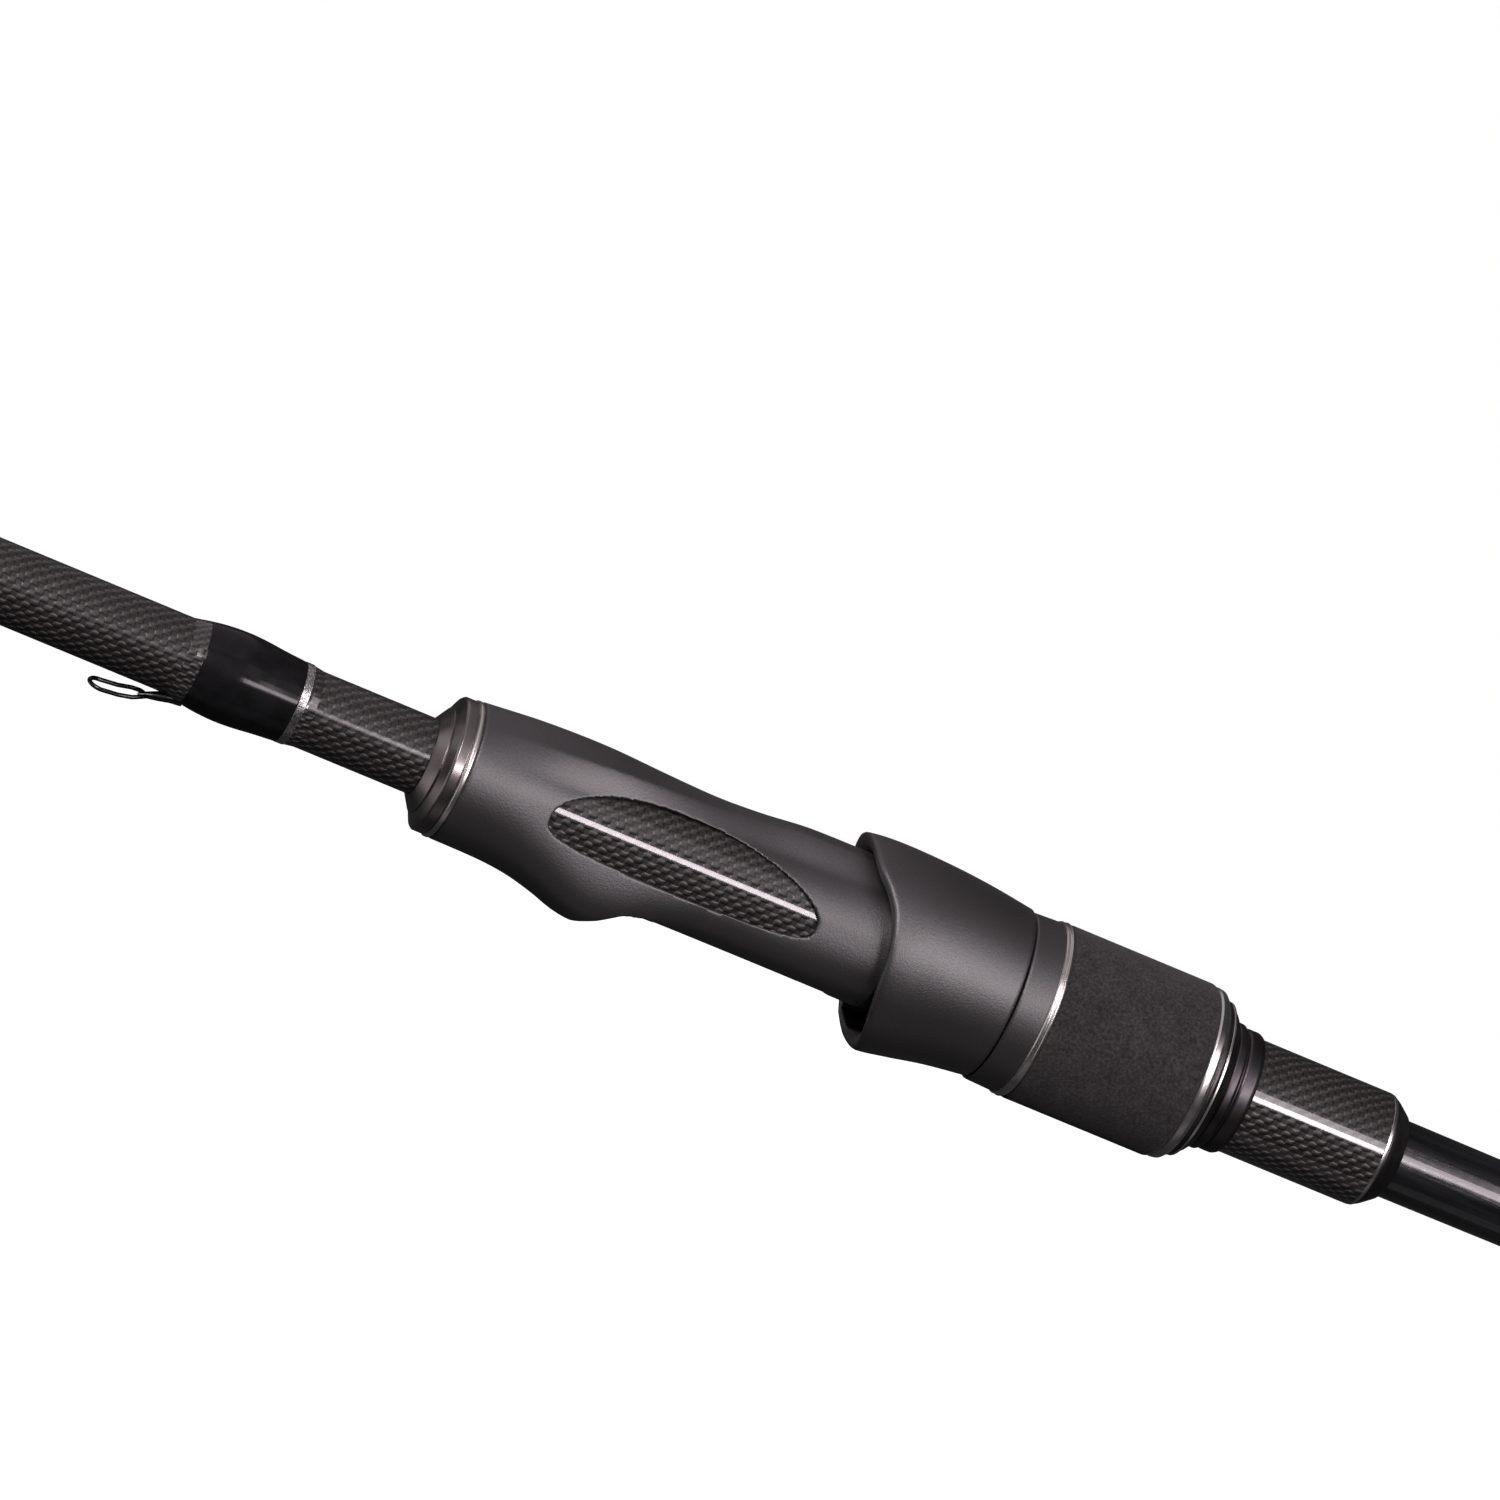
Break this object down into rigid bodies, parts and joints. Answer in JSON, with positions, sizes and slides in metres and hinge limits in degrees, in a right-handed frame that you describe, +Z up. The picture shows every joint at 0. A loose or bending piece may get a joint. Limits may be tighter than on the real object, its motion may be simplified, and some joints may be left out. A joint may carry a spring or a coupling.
{
  "type": "spinning rod",
  "caption": "Two-piece spinning rod with a split foam grip, an open reel seat with a screw-down hood, hanging line guides and a slender black blank.",
  "frame": {"origin": "centre of the flat rear face of the butt cap, on the blank's axis", "axes": "+X along the blank from the butt to the tip, +Z up away from the reel and guides, +Y to the left when looking towards the tip"},
  "size_m": [1.98, 0.0294, 0.0481],
  "materials": {
    "cap_rubber": "matte moulded rubber",
    "eva_foam": "fine closed-cell foam, sanded matte",
    "bright_trim": "polished metal trim",
    "dark_chrome": "gunmetal, polished",
    "woven_carbon_satin": "woven carbon under satin lacquer",
    "woven_carbon_gloss": "woven carbon under gloss lacquer",
    "blank_gloss": "black lacquer over carbon, gloss",
    "wrap_epoxy": "black thread under clear epoxy, gloss",
    "seat_plastic": "soft-touch matte",
    "inner_plastic": "moulded, satin",
    "black_ring": "anodised black, satin",
    "arbor_foam": "rigid foam, matte",
    "plain_carbon": "ground carbon",
    "spring_steel": "spring steel",
    "guide_steel": "black-plated stainless steel",
    "ring_ceramic": "dark polished ceramic"
  },
  "bodies": {
    "root": {"butt_cap": "cap_rubber", "butt_trim_ring": "bright_trim", "butt_grip": "eva_foam", "grip_front_ring": "dark_chrome", "handle_tube": "woven_carbon_satin", "hook_keeper": "guide_steel", "keeper_wrap": "wrap_epoxy", "keeper_wrap_band": "bright_trim", "winding_check": "dark_chrome", "winding_check_rim": "bright_trim", "rear_arbor": "arbor_foam", "joint_spigot": "plain_carbon", "middle_arbor": "arbor_foam", "front_arbor": "arbor_foam", "seat_pipe": "woven_carbon_gloss", "seat_body": "seat_plastic", "threaded_barrel": "inner_plastic", "pipe_end_ring": "bright_trim", "blank_taper_cone": "black_ring", "butt_blank": "blank_gloss", "ferrule_plug": "cap_rubber", "butt_guide_wraps": "wrap_epoxy", "guide_frame_1": "guide_steel", "guide_ring_1": "ring_ceramic", "guide_frame_2": "guide_steel", "guide_ring_2": "ring_ceramic"},
    "hood": {"moving_hood": "seat_plastic", "hood_key": "inner_plastic", "hood_retaining_ring": "spring_steel"},
    "foregrip": {"hood_collar": "seat_plastic", "foregrip_nut": "inner_plastic", "foregrip_rear_ring": "bright_trim", "foregrip": "eva_foam", "foregrip_front_ring": "bright_trim", "nose_cone": "black_ring", "nose_line_ring": "bright_trim", "neck_ring_rear": "black_ring", "neck_ring_front": "black_ring"},
    "tip_section": {"tip_blank": "blank_gloss", "ferrule_wrap": "wrap_epoxy", "ferrule_band": "bright_trim", "tip_guide_wraps": "wrap_epoxy", "tip_top_frame": "guide_steel", "tip_top_ring": "ring_ceramic", "tip_top_wrap": "wrap_epoxy", "guide_frame_3": "guide_steel", "guide_frame_4": "guide_steel", "guide_frame_5": "guide_steel", "guide_frame_6": "guide_steel", "guide_frame_7": "guide_steel", "guide_frame_8": "guide_steel", "guide_ring_3": "ring_ceramic", "guide_ring_4": "ring_ceramic", "guide_ring_5": "ring_ceramic", "guide_ring_6": "ring_ceramic", "guide_ring_7": "ring_ceramic", "guide_ring_8": "ring_ceramic"}
  },
  "joints": [
    {"name": "hood_travel", "type": "slide", "parent": "root", "child": "hood", "axis": [1, 0, 0], "range_m": [-0.004, 0.02]},
    {"name": "foregrip_spin", "type": "hinge", "parent": "hood", "child": "foregrip", "pos_m": [0.34, 0, 0], "axis": [1, 0, 0], "range_deg": [-720, 3600]},
    {"name": "tip_section_pull", "type": "slide", "parent": "root", "child": "tip_section", "axis": [1, 0, 0], "range_m": [0, 0.08]}
  ],
  "couplings": [
    {"joint": "hood_travel", "follows": "foregrip_spin", "m_per_rad": 0.00031831}
  ]
}
